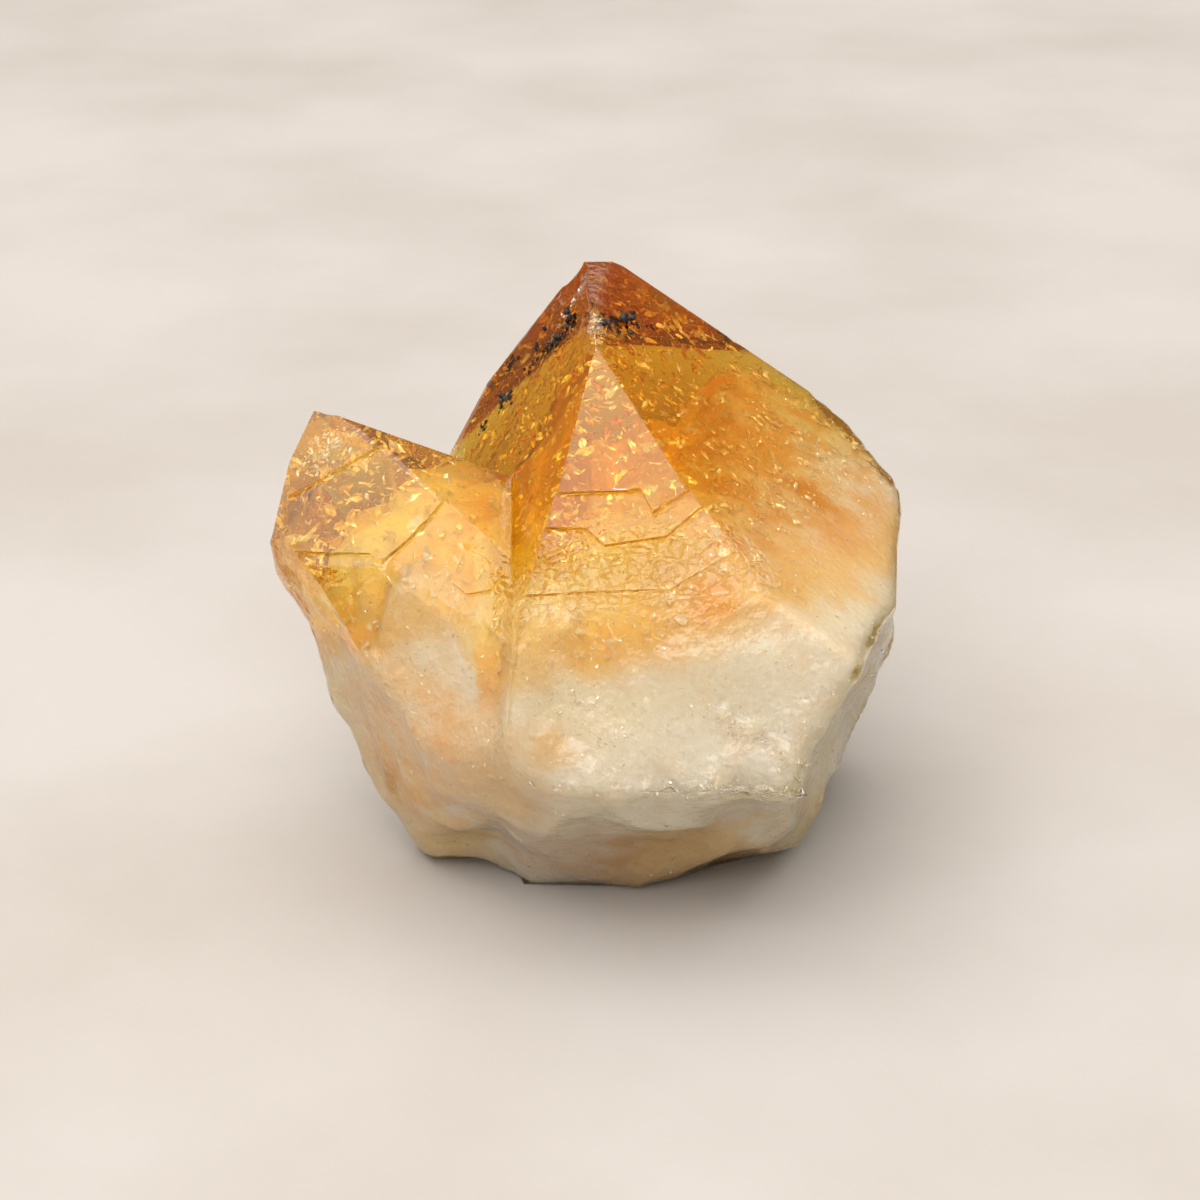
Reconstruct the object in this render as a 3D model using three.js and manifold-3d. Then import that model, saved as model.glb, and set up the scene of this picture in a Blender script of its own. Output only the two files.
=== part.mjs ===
// Citrine crystal point: two quartz crystals grown together and broken off a milky base.
// Units are mm and degrees, +Z is up, and the front of the object looks along -Y.
import * as THREE from "three";
import { ConvexGeometry } from "three/addons/geometries/ConvexGeometry.js";
import { mergeVertices } from "three/addons/utils/BufferGeometryUtils.js";
import Module from "manifold-3d";

const wasm = await Module();
wasm.setup();

// Quartz angles, measured from the crystal's long axis.
const RHOMB = 51.8; // the tilt of an ideal termination face
const PRISM = 90; // the tilt of an ideal prism face

// The main crystal: where its centre stands and how its long axis leans.
const MAIN_CENTRE = [3, 2, 16];
const MAIN_LEAN_SIDEWAYS = -16;
const MAIN_LEAN_BACK = -23;
const MAIN_TWIST = 3.5;

// The side crystal leans further to the left.
const SIDE_CENTRE = [-12, -4, 22];
const SIDE_LEAN_SIDEWAYS = -28;
const SIDE_LEAN_BACK = -14.5;
const SIDE_TWIST = 2;

const TIP_HEIGHT = 35.7; // the main crystal's tip is worn flat at this height
const MAIN_STEPS = [0.25, 0.5, 0.75]; // how deep the growth steps of the front faces lie
const SIDE_STEPS = [0.3, 0.6];

const rad = THREE.MathUtils.degToRad;

// A crystal's axes as a matrix: a twist about the long axis, a lean sideways, then a lean back.
function axes(sideways, back, twist) {
  const spin = new THREE.Matrix4().makeRotationZ(rad(twist));
  const side = new THREE.Matrix4().makeRotationY(rad(sideways));
  const rear = new THREE.Matrix4().makeRotationX(rad(back));
  return rear.multiply(side).multiply(spin);
}

// A half-space: its outward normal and the distance of its plane along that normal from the origin.
function halfSpace(normal, offset) {
  return { normal, offset };
}

// A crystal face by azimuth, tilt from the long axis and distance from the crystal's centre.
function face(matrix, centre, azimuth, tilt, distance) {
  const normal = new THREE.Vector3(
    Math.sin(rad(tilt)) * Math.cos(rad(azimuth)),
    Math.sin(rad(tilt)) * Math.sin(rad(azimuth)),
    Math.cos(rad(tilt)),
  ).transformDirection(matrix);
  return halfSpace(normal, normal.dot(new THREE.Vector3(...centre)) + distance);
}

// A break that is flat enough to be a plane, in the object's own axes, through one point.
function breakAt(nx, ny, nz, x, y, z) {
  const normal = new THREE.Vector3(nx, ny, nz).normalize();
  return halfSpace(normal, normal.dot(new THREE.Vector3(x, y, z)));
}

// The point where three planes meet, or null where they run nearly parallel.
function meeting(a, b, c) {
  const bc = new THREE.Vector3().crossVectors(b.normal, c.normal);
  const volume = a.normal.dot(bc);
  if (Math.abs(volume) < 1e-6) return null;
  const ca = new THREE.Vector3().crossVectors(c.normal, a.normal);
  const ab = new THREE.Vector3().crossVectors(a.normal, b.normal);
  return bc
    .multiplyScalar(a.offset)
    .addScaledVector(ca, b.offset)
    .addScaledVector(ab, c.offset)
    .divideScalar(volume);
}

// A geometry as a manifold-3d solid.
function solid(geometry) {
  const bare = geometry.clone();
  bare.deleteAttribute("normal");
  bare.deleteAttribute("uv");
  const merged = mergeVertices(bare, 1e-5);
  return new wasm.Manifold(
    new wasm.Mesh({
      numProp: 3,
      vertProperties: new Float32Array(merged.attributes.position.array),
      triVerts: new Uint32Array(merged.index.array),
    }),
  );
}

// The convex solid that a list of half-spaces encloses.
function crystal(planes) {
  const corners = [];
  for (let i = 0; i < planes.length; i += 1) {
    for (let j = i + 1; j < planes.length; j += 1) {
      for (let k = j + 1; k < planes.length; k += 1) {
        const corner = meeting(planes[i], planes[j], planes[k]);
        const inside = (p) => p.normal.dot(corner) < p.offset + 1e-6;
        if (corner && planes.every(inside)) corners.push(corner);
      }
    }
  }
  return solid(new ConvexGeometry(corners));
}

// A flat-sided slab parallel to a face: its outline is measured `across` to the right and `up`
// towards the tip from a point on the face, and it runs from `low` to `high` over the face.
function slab(plane, start, outline, low, high) {
  const across = new THREE.Vector3().crossVectors(new THREE.Vector3(0, 0, 1), plane.normal);
  across.normalize();
  const up = new THREE.Vector3().crossVectors(plane.normal, across);
  const from = new THREE.Vector3(...start);
  from.addScaledVector(plane.normal, plane.offset - plane.normal.dot(from));
  const shape = new THREE.Shape(outline.map(([a, b]) => new THREE.Vector2(a, b)));
  const block = new THREE.ExtrudeGeometry(shape, { depth: high - low, bevelEnabled: false });
  block.translate(0, 0, low);
  block.applyMatrix4(new THREE.Matrix4().makeBasis(across, up, plane.normal).setPosition(from));
  return solid(block);
}

// A ball that leaves a conchoidal hollow where it is cut away.
function scoop(x, y, z, radius, wide = 1, deep = 1, tall = 1) {
  const ball = new THREE.IcosahedronGeometry(radius, 9);
  ball.scale(wide, deep, tall);
  ball.translate(x, y, z);
  return solid(ball);
}

const FLOOR = breakAt(0, 0, -1, 0, 0, 0);

// --- the main crystal ---------------------------------------------------------------------
const mainAxes = axes(MAIN_LEAN_SIDEWAYS, MAIN_LEAN_BACK, MAIN_TWIST);
const mainFace = (azimuth, tilt, distance) => face(mainAxes, MAIN_CENTRE, azimuth, tilt, distance);
const mainFront = mainFace(-86.5, 52.5, 16);
let mainCrystal = crystal([
  mainFront,
  mainFace(-154, 47.5, 12.3), // the long left termination face
  mainFace(-37.5, 57.5, 13.9), // the large right termination face
  mainFace(30, RHOMB, 18.9), // right back
  mainFace(150, RHOMB, 16.7), // left back
  mainFace(90, RHOMB, 16.2), // back
  mainFace(-94.5, 93.5, 19.1), // the front prism face
  mainFace(-158, 72, 14.2), // left, most of it inside the side crystal
  breakAt(0.99, -0.1, 0.01, 20.9, 4, 21.7), // right prism face
  mainFace(30, PRISM, 17.8),
  mainFace(90, PRISM, 11.5),
  mainFace(150, PRISM, 15.5),
  breakAt(0.1, -0.1, 0.99, 0.3, 13.3, TIP_HEIGHT), // the worn tip
  breakAt(-0.42, 0.62, 0.66, -2.4, 14.9, 33.7), // the chipped back left of the tip
  breakAt(0.86, 0.14, 0.36, 21.1, 10, 23.6), // the chipped right shoulder
  breakAt(0.894, -0.273, -0.354, 14.2, -19.8, 13.4), // the break down the right side
  breakAt(-0.03, -0.77, -0.63, 0, -8.7, 0), // the break under the front
  breakAt(0.26, -0.6, -0.75, 5, -7.7, 0), // the break under the right front
  breakAt(-0.97, -0.2, -0.215, -4.1, -8.5, 0), // the front block's left side
  breakAt(0.1, 0.75, -0.65, 2, 8, 0), // the break under the back
  FLOOR,
]);
const mainCorner = [-3.7, -16.4, 23.3]; // the lower left corner of the front face
// Each growth step lies lower than the one above it, so its outline takes in all below.
const mainStepOutlines = [
  [[-3, 9.3], [0.6, 9.4], [5.9, 10.1], [6.9, 8.4], [8.8, 10.2], [12, 13], [18, 2], [12, -4], [-4, -3]],
  [[-3, 6.8], [2.9, 7], [4.2, 5.8], [7.9, 6.8], [9.6, 9], [13, 12], [18, 2], [12, -4], [-4, -3]],
  [[-3, 1.4], [3.5, 2.4], [8.6, 3], [9.7, 4], [12.2, 6.2], [15, 8.5], [18, 2], [12, -4], [-4, -3]],
];
mainStepOutlines.forEach((outline, step) => {
  mainCrystal = mainCrystal.subtract(slab(mainFront, mainCorner, outline, -MAIN_STEPS[step], 3));
});

// --- the side crystal ---------------------------------------------------------------------
const sideAxes = axes(SIDE_LEAN_SIDEWAYS, SIDE_LEAN_BACK, SIDE_TWIST);
const sideFace = (azimuth, tilt, distance) => face(sideAxes, SIDE_CENTRE, azimuth, tilt, distance);
const sideFront = sideFace(-90, RHOMB, 4.8);
const sideShared = [
  sideFront,
  sideFace(-30, RHOMB, 5.8), // the right termination face, which runs into the main crystal
  sideFace(-150, RHOMB, 7.3), // the small left termination face
  sideFace(30, RHOMB, 6.9), // right back
  sideFace(150, RHOMB, 7.7), // left back
  breakAt(-0.76, -0.52, -0.26, -17.1, -3.6, 13.3), // the left prism face
  breakAt(-0.8, 0.45, -0.4, -17.3, -3.1, 13.3), // the back left prism face
  breakAt(-0.78, -0.44, -0.45, -12.3, -1.6, 0), // the break under the left
  breakAt(0, -0.74, -0.67, -7.5, -5.2, 0), // the break under the left front
  breakAt(-0.3, 0.7, -0.6, -7, 4, 0), // the break under the back
  breakAt(-0.1, 0.9, 0.1, -10, 6.5, 15), // back
  breakAt(0.9, 0, 0.1, -3.5, 0, 15), // inside the main crystal
  FLOOR,
];
// Two parallel crystals share all but the front prism face, which leaves a groove between them.
const sideOuter = crystal([...sideShared, breakAt(-0.29, -0.9, 0.3, -18.3, -7.4, 22.7)]);
const sideInner = crystal([...sideShared, breakAt(-0.54, -0.8, 0.26, -12.4, -9.1, 23.4)]);
let sideCrystal = sideOuter.add(sideInner);
const sideCorner = [-18.5, -7.8, 22.7]; // the lower left corner of the side crystal's front face
const sideStepOutlines = [
  [[-5, 2], [-0.5, 5.8], [3, 9], [6, 11.6], [16, 6], [16, -6], [-5, -3]],
  [[-5, 0.9], [1, 1.3], [4.8, 1.9], [5.7, 1.3], [7.1, 3.4], [8.3, 5.9], [9, 8], [16, 6], [16, -6], [-5, -3]],
];
sideStepOutlines.forEach((outline, step) => {
  sideCrystal = sideCrystal.subtract(slab(sideFront, sideCorner, outline, -SIDE_STEPS[step], 3));
});

// A small crystal of the same growth stands out beside the front face.
const smallOutline = [[11, 3.4], [12.9, 2.9], [13.9, 2.2], [13.5, 1], [12, 0.4], [10.8, 1]];
sideCrystal = sideCrystal.add(slab(sideFront, sideCorner, smallOutline, -3, -0.35));

// --- the hollows that the breaks left -----------------------------------------------------
const hollows = [
  scoop(32.7, -16.9, 7.1, 20), // down the right side
  scoop(11.6, -23.4, -0.2, 13), // under the lip at the right front
  scoop(-7.4, -7.5, -2.4, 3.4), // the arch under the left block
  scoop(0.6, 4.4, 35.3, 1.5), // the bruise where the front faces meet
  scoop(-3.2, 11.9, 36.6, 3.6), // the chip on the left of the tip
  scoop(4.3, 19.8, -5.5, 15), // under the back
  scoop(-17, 10, 0, 9), // under the back of the left block
];
let body = mainCrystal.add(sideCrystal);
hollows.forEach((hollow) => {
  body = body.subtract(hollow);
});

const group = new THREE.Group();
group.name = "citrine_point";
const mesh = body.getMesh();
const geometry = new THREE.BufferGeometry();
const positions = new THREE.BufferAttribute(new Float32Array(mesh.vertProperties), 3);
geometry.setAttribute("position", positions);
geometry.setIndex(new THREE.BufferAttribute(new Uint32Array(mesh.triVerts), 1));
// The origin is the middle of the floor under the object.
geometry.computeBoundingBox();
const box = geometry.boundingBox;
geometry.translate(-(box.min.x + box.max.x) / 2, -(box.min.y + box.max.y) / 2, -box.min.z);
geometry.computeVertexNormals();
const amber = new THREE.MeshStandardMaterial({ color: 0xd9a45c, roughness: 0.15 });
const node = new THREE.Mesh(geometry, amber);
node.name = "citrine_crystal_point";
group.add(node);

export default group;
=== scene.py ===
"""Citrine crystal point: two quartz crystals grown together, clear amber above and milky below.

Lengths in the dataclasses are in millimetres and every mesh is built in metres.
"""

import logging
import math
from dataclasses import dataclass, field
from enum import Enum

import bpy
import numpy as np
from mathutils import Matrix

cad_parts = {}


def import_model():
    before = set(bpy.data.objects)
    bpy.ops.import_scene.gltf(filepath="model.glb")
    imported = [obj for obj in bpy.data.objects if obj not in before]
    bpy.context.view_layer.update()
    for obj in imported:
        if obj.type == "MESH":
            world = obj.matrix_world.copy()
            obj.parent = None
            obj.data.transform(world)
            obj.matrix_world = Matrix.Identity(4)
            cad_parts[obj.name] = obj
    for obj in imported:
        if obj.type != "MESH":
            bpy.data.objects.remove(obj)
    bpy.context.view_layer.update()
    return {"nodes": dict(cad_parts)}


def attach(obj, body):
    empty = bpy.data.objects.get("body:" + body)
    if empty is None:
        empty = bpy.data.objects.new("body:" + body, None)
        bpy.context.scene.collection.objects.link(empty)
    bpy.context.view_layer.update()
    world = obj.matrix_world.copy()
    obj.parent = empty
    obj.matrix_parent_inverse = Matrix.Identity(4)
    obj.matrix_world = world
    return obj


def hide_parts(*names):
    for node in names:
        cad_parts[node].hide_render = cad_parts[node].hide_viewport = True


LOG = logging.getLogger("citrine")
MM = 0.001  # metres in a millimetre
NODE = "citrine_crystal_point"
BODY = "root"
Place = tuple[float, float, float]  # mm


# --- colour, noise and mesh helpers -----------------------------------------------------------
def linear(hex_colour: str, alpha: float = 1.0) -> tuple[float, float, float, float]:
    """An sRGB hex colour as linear RGBA.

    Args:
        hex_colour: six hex digits, such as "E8D5B5".
        alpha: the fourth channel.

    Returns:
        The four channels, each from 0 to 1.
    """
    raw = [int(hex_colour[i : i + 2], 16) / 255 for i in (0, 2, 4)]
    rgb = [c / 12.92 if c <= 0.04045 else ((c + 0.055) / 1.055) ** 2.4 for c in raw]
    return (rgb[0], rgb[1], rgb[2], alpha)


def lattice(cells: np.ndarray, seed: int) -> np.ndarray:
    """A repeatable value from -1 to 1 for each whole-number cell, by mixing its three indices.

    Args:
        cells: whole-number indices, shape (n, 3).
        seed: picks another set of values.

    Returns:
        One value per cell, shape (n,).
    """
    primes = np.array([73856093, 19349663, 83492791], np.uint32)
    with np.errstate(over="ignore"):
        mixed = cells.astype(np.int64).astype(np.uint32) * primes
        key = mixed[:, 0] ^ mixed[:, 1] ^ mixed[:, 2] ^ np.uint32((seed * 2654435761) & 0xFFFFFFFF)
        key = (key ^ (key >> np.uint32(15))) * np.uint32(2246822519)
        key = (key ^ (key >> np.uint32(13))) * np.uint32(3266489917)
        key = key ^ (key >> np.uint32(16))
    return key.astype(np.float64) / 2147483647.5 - 1.0


def noise(points: np.ndarray, cell: float, seed: int) -> np.ndarray:
    """Smooth value noise: the eight corner values of a point's cell, blended by smoothstep weights.

    Args:
        points: places in mm, shape (n, 3).
        cell: the size of a cell in mm.
        seed: picks another pattern.

    Returns:
        A value from -1 to 1 per point.
    """
    scaled = points / cell
    base = np.floor(scaled)
    part = scaled - base
    part = part * part * (3 - 2 * part)
    total = np.zeros(len(points))
    for corner in range(8):
        step = np.array([corner & 1, corner >> 1 & 1, corner >> 2 & 1])
        weight = np.prod(np.where(step == 1, part, 1 - part), axis=1)
        total += weight * lattice(base + step, seed)
    return total


def layered(points: np.ndarray, cell: float, layers: int, seed: int) -> np.ndarray:
    """Noise summed over layers, each half the size and half the strength of the last.

    Args:
        points: places in mm, shape (n, 3).
        cell: the largest cell in mm.
        layers: how many layers.
        seed: picks another pattern.

    Returns:
        A value of about -1 to 1 per point.
    """
    return sum(noise(points, cell / 2**k, seed + k) / 2**k for k in range(layers)) / 1.6


def ramp(value: np.ndarray, low: float, high: float) -> np.ndarray:
    """Smoothstep of a value between low and high, which may run downwards."""
    t = np.clip((value - low) / (high - low), 0, 1)
    return t * t * (3 - 2 * t)


def unit(vectors: np.ndarray) -> np.ndarray:
    """Rows of three scaled to a length of one."""
    return vectors / np.maximum(np.linalg.norm(vectors, axis=1, keepdims=True), 1e-12)


def from_line(points: np.ndarray, start: Place, end: Place) -> np.ndarray:
    """The distance of each point from a straight stretch between two places.

    Args:
        points: places in mm, shape (n, 3).
        start: one end.
        end: the other end.

    Returns:
        Distances in mm.
    """
    first = np.array(start)
    way = np.array(end) - first
    along = np.clip((points - first) @ way / (way @ way), 0, 1)
    return np.linalg.norm(points - first - along[:, None] * way, axis=1)


def crystal_axes(sideways: float, back: float, twist: float) -> np.ndarray:
    """A crystal's axes as columns: a twist about its long axis, a lean sideways, then a lean back.

    Args:
        sideways: lean to the right in degrees.
        back: turn about X in degrees, negative for a lean to the back.
        twist: turn about the long axis in degrees.

    Returns:
        A 3 by 3 matrix.
    """
    a, b, c = np.radians([sideways, back, twist])
    spin = np.array([[np.cos(c), -np.sin(c), 0], [np.sin(c), np.cos(c), 0], [0, 0, 1]])
    side = np.array([[np.cos(a), 0, np.sin(a)], [0, 1, 0], [-np.sin(a), 0, np.cos(a)]])
    rear = np.array([[1, 0, 0], [0, np.cos(b), -np.sin(b)], [0, np.sin(b), np.cos(b)]])
    return rear @ side @ spin


MAIN_AXES = crystal_axes(-16, -23, 3.5)
SIDE_AXES = crystal_axes(-28, -14.5, 2)


def face_normal(axes: np.ndarray, azimuth: float, tilt: float) -> np.ndarray:
    """The outward normal of a crystal face by azimuth and tilt from the long axis, in degrees."""
    a, t = np.radians([azimuth, tilt])
    return axes @ np.array([np.sin(t) * np.cos(a), np.sin(t) * np.sin(a), np.cos(t)])


MOST_SPLITS = 14  # rounds of splitting at most
SPREAD_ROUNDS = 6  # rounds in which a split spreads to the longest edges beside it
STAY = 0.35  # how much of its own place a point keeps in a round of smoothing
WALK_ROUNDS = 12  # edges at most on a walk that measures a distance


@dataclass
class Shell:
    """A triangle mesh as arrays, in mm."""

    points: np.ndarray
    faces: np.ndarray

    def edges(self) -> tuple[np.ndarray, np.ndarray]:
        """Every edge once.

        Returns:
            The edges as pairs of point indices, and for each face the indices of its three edges,
            edge k running from corner k to corner k + 1.
        """
        pairs = np.stack([self.faces, np.roll(self.faces, -1, axis=1)], axis=2).reshape(-1, 2)
        low, high = pairs.min(axis=1), pairs.max(axis=1)
        size = len(self.points)
        key, index = np.unique(low * size + high, return_inverse=True)
        return np.stack([key // size, key % size], axis=1), index.reshape(-1, 3)

    def face_crosses(self) -> np.ndarray:
        """Each face's normal, as long as twice its area: (b - a) x (c - a)."""
        a, b, c = (self.points[self.faces[:, k]] for k in range(3))
        return np.cross(b - a, c - a)

    def edge_lengths(self, edges: np.ndarray) -> np.ndarray:
        """The lengths of edges given as pairs of point indices, in mm."""
        return np.linalg.norm(self.points[edges[:, 0]] - self.points[edges[:, 1]], axis=1)

    def face_normals(self) -> np.ndarray:
        """Unit normals of the faces."""
        return unit(self.face_crosses())

    def point_normals(self) -> np.ndarray:
        """Normals of the points: the faces' normals added up by area.

        Returns:
            Unit vectors, one per point.
        """
        cross = self.face_crosses()
        total = np.zeros_like(self.points)
        for k in range(3):
            np.add.at(total, self.faces[:, k], cross)
        return unit(total)

    def refined(self, longest: float) -> "Shell":
        """Splits edges at their middles until none is longer than asked.

        Each round marks the long edges. A face with one, two or three marked edges becomes two,
        three or four faces, so neighbours always agree.

        Args:
            longest: the longest edge to leave, in mm.

        Returns:
            The refined shell.
        """
        shell = self
        for _ in range(MOST_SPLITS):
            edges, of_face = shell.edges()
            length = shell.edge_lengths(edges)
            face_longest = np.argmax(length[of_face], axis=1)
            longest_edge = of_face[np.arange(len(of_face)), face_longest]
            marked = np.zeros(len(edges), bool)
            marked[longest_edge[length[longest_edge] > longest]] = True
            if not marked.any():
                break
            # A face never has a shorter edge split without its longest one.
            for _ in range(SPREAD_ROUNDS):
                touched = marked[of_face].any(axis=1)
                marked[longest_edge[touched]] = True
            shell = shell.split(edges, of_face, marked)
        return shell

    def split(self, edges: np.ndarray, of_face: np.ndarray, marked: np.ndarray) -> "Shell":
        """Splits the marked edges at their middles.

        Args:
            edges: pairs of point indices.
            of_face: each face's three edges.
            marked: which edges to split.

        Returns:
            The shell with the new points and faces.
        """
        middle = np.full(len(edges), -1)
        middle[marked] = len(self.points) + np.arange(marked.sum())
        points = np.vstack([self.points, self.points[edges[marked]].mean(axis=1)])
        split = marked[of_face]
        count = split.sum(axis=1)
        # Turn each face so that its first edge is split and, with two, so is its second.
        turn = np.zeros(len(self.faces), int)
        turn[count == 1] = np.argmax(split[count == 1], axis=1)
        turn[count == 2] = (np.argmin(split[count == 2], axis=1) + 1) % 3
        order = (np.arange(3) + turn[:, None]) % 3
        corner = np.take_along_axis(self.faces, order, axis=1)
        mid = np.take_along_axis(middle[of_face], order, axis=1)
        a, b, c = corner.T
        ab, bc, ca = mid.T
        pieces = (
            (1, a, ab, c), (1, ab, b, c),
            (2, ab, b, bc), (2, a, ab, bc), (2, a, bc, c),
            (3, a, ab, ca), (3, ab, b, bc), (3, ca, bc, c), (3, ab, bc, ca),
        )
        faces = [self.faces[count == 0]]
        for splits, *corners in pieces:
            faces.append(np.stack(corners, axis=1)[count == splits])
        return Shell(points, np.vstack(faces))

    def creases(self, degrees: float) -> np.ndarray:
        """The edges where two faces meet at more than an angle.

        Args:
            degrees: the angle between the faces' normals.

        Returns:
            Pairs of point indices.
        """
        edges, of_face = self.edges()
        normals = self.face_normals()
        first = np.full(len(edges), -1)
        second = np.full(len(edges), -1)
        face = np.repeat(np.arange(len(self.faces)), 3)
        flat = of_face.reshape(-1)
        first[flat[::-1]] = face[::-1]
        second[flat] = face
        cosine = (normals[first] * normals[second]).sum(axis=1)
        return edges[cosine < math.cos(math.radians(degrees))]

    def share(self, chosen: np.ndarray) -> np.ndarray:
        """How much of the faces round each point are chosen.

        Args:
            chosen: a mask of the faces.

        Returns:
            A share from 0 to 1 per point.
        """
        corners = self.faces.reshape(-1)
        count = np.bincount(corners, minlength=len(self.points))
        hits = np.bincount(corners, np.repeat(chosen, 3).astype(float), len(self.points))
        return hits / np.maximum(count, 1)

    def smoothed(self, pinned: np.ndarray, rounds: int) -> "Shell":
        """Moves each free point to the middle of its neighbours, several times.

        Points inside a flat face stay on it, so this only rounds the hollows.

        Args:
            pinned: the points that stay, as a mask.
            rounds: how many times.

        Returns:
            The smoothed shell.
        """
        edges, _ = self.edges()
        degree = np.bincount(edges.reshape(-1), minlength=len(self.points))[:, None]
        points = self.points.copy()
        for _ in range(rounds):
            total = np.zeros_like(points)
            for axis in range(3):
                total[:, axis] += np.bincount(edges[:, 0], points[edges[:, 1], axis], len(points))
                total[:, axis] += np.bincount(edges[:, 1], points[edges[:, 0], axis], len(points))
            middle = total / np.maximum(degree, 1)
            points = np.where(pinned[:, None], points, STAY * points + (1 - STAY) * middle)
        return Shell(points, self.faces)

    def distance_from(self, start: np.ndarray, reach: float) -> np.ndarray:
        """Distance along the edges from a set of points, up to about a reach.

        Args:
            start: a mask of the points to measure from.
            reach: how far to measure, in mm.

        Returns:
            A distance per point, at most the reach.
        """
        edges, _ = self.edges()
        length = self.edge_lengths(edges)
        distance = np.where(start, 0.0, reach)
        for _ in range(WALK_ROUNDS):
            for a, b in ((0, 1), (1, 0)):
                np.minimum.at(distance, edges[:, a], distance[edges[:, b]] + length)
        return np.minimum(distance, reach)


def ball_directions(rings: int, around: int) -> np.ndarray:
    """Unit vectors at the middles of even steps down and around: (sin a cos b, sin a sin b, cos a).

    Args:
        rings: how many rings from the top pole to the bottom one.
        around: how many points on a ring.

    Returns:
        The vectors, shape (rings, around, 3).
    """
    polar = (np.arange(rings) + 0.5) * np.pi / rings
    turn = (np.arange(around) + 0.5) * 2 * np.pi / around
    a, b = np.meshgrid(polar, turn, indexing="ij")
    return np.stack([np.sin(a) * np.cos(b), np.sin(a) * np.sin(b), np.cos(a)], axis=2)


def ball_faces(rings: int, around: int) -> np.ndarray:
    """The triangles of a closed ball whose points are its rings, then its top and bottom poles.

    Args:
        rings: how many rings from the top pole to the bottom one.
        around: how many points on a ring.

    Returns:
        Triples of point indices that face outwards.
    """
    row, column = np.meshgrid(np.arange(rings - 1), np.arange(around), indexing="ij")
    a = row * around + column
    b = row * around + (column + 1) % around
    c, d = a + around, b + around
    bands = np.concatenate([np.stack([a, c, d], axis=2), np.stack([a, d, b], axis=2)]).reshape(-1, 3)
    ring = np.arange(around)
    after = (ring + 1) % around
    last, pole = (rings - 1) * around, rings * around
    top = np.stack([np.full(around, pole), ring, after], axis=1)
    bottom = np.stack([np.full(around, pole + 1), last + after, last + ring], axis=1)
    return np.vstack([bands, top, bottom])


def ball_poles(rings: np.ndarray) -> np.ndarray:
    """The rings' unit vectors as one list with the top and bottom poles after them."""
    return np.vstack([rings.reshape(-1, 3), [[0, 0, 1], [0, 0, -1]]])


def store(mesh: bpy.types.Mesh, name: str, values: np.ndarray) -> None:
    """Stores a number or a colour per point as an attribute.

    Args:
        mesh: the mesh.
        name: the attribute's name.
        values: shape (n,) for numbers, (n, 3) for colours.
    """
    if values.ndim == 1:
        mesh.attributes.new(name, "FLOAT", "POINT").data.foreach_set("value", values.astype(np.float32))
        return
    rgba = np.column_stack([values, np.ones(len(values))]).astype(np.float32)
    mesh.attributes.new(name, "FLOAT_COLOR", "POINT").data.foreach_set("color", rgba.reshape(-1))


def wash(colour: np.ndarray, share: np.ndarray, hex_colour: str) -> None:
    """Multiplies a share s of a wash w into colours, in place: c (1 + s (w - 1))."""
    colour *= 1 + share[:, None] * (np.array(linear(hex_colour)[:3]) - 1)


def to_mesh(name: str, shell: Shell, smooth: bool = True) -> bpy.types.Object:
    """A shell as a Blender object at the origin.

    Args:
        name: the piece's name.
        shell: the shell, in mm.
        smooth: smooth shading.

    Returns:
        The object.
    """
    mesh = bpy.data.meshes.new(name)
    mesh.from_pydata((shell.points * MM).tolist(), [], shell.faces.tolist())
    mesh.polygons.foreach_set("use_smooth", np.full(len(mesh.polygons), smooth))
    mesh.update()
    piece = bpy.data.objects.new(name, mesh)
    bpy.context.scene.collection.objects.link(piece)
    return piece


# --- materials --------------------------------------------------------------------------------
Tree = bpy.types.NodeTree
Socket = bpy.types.NodeSocket


def add(tree: Tree, kind: str, settings: dict | None = None, links: dict | None = None) -> bpy.types.Node:
    """Adds a node with its settings and links.

    Args:
        tree: the node tree.
        kind: the node's type name after "ShaderNode".
        settings: values by property name, or by input socket name or number.
        links: output sockets by the input socket's name or number.

    Returns:
        The node.
    """
    node = tree.nodes.new("ShaderNode" + kind)
    for key, value in (settings or {}).items():
        if isinstance(key, str) and hasattr(node, key):
            setattr(node, key, value)
        else:
            node.inputs[key].default_value = value
    for key, socket in (links or {}).items():
        tree.links.new(socket, node.inputs[key])
    return node


def blank(name: str) -> tuple[bpy.types.Material, Tree, Socket]:
    """A material without nodes but for its Object coordinates.

    Args:
        name: the material's name.

    Returns:
        The material, its tree and the socket with the coordinates.
    """
    material = bpy.data.materials.new(name)
    material.use_nodes = True
    tree = material.node_tree
    tree.nodes.clear()
    return material, tree, add(tree, "TexCoord").outputs["Object"]


def surfaced(tree: Tree, settings: dict, links: dict) -> bpy.types.Node:
    """Adds the Principled surface and gives back the output node that it goes to."""
    surface = add(tree, "BsdfPrincipled", settings, links)
    return add(tree, "OutputMaterial", {}, {"Surface": surface.outputs[0]})


def stored(tree: Tree, name: str) -> bpy.types.Node:
    """Reads an attribute that a piece stores at its points."""
    return add(tree, "Attribute", {"attribute_name": name})


def per_mm(size: float) -> float:
    """The noise scale that gives features of a size in mm on coordinates in metres."""
    return 1.0 / (size * MM)


def mottled(tree: Tree, place: Socket, size: float, detail: float) -> Socket:
    """Noise from 0 to 1 with features of a size in mm."""
    noisy = add(tree, "TexNoise", {"Scale": per_mm(size), "Detail": detail}, {"Vector": place})
    return noisy.outputs["Fac"]


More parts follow.
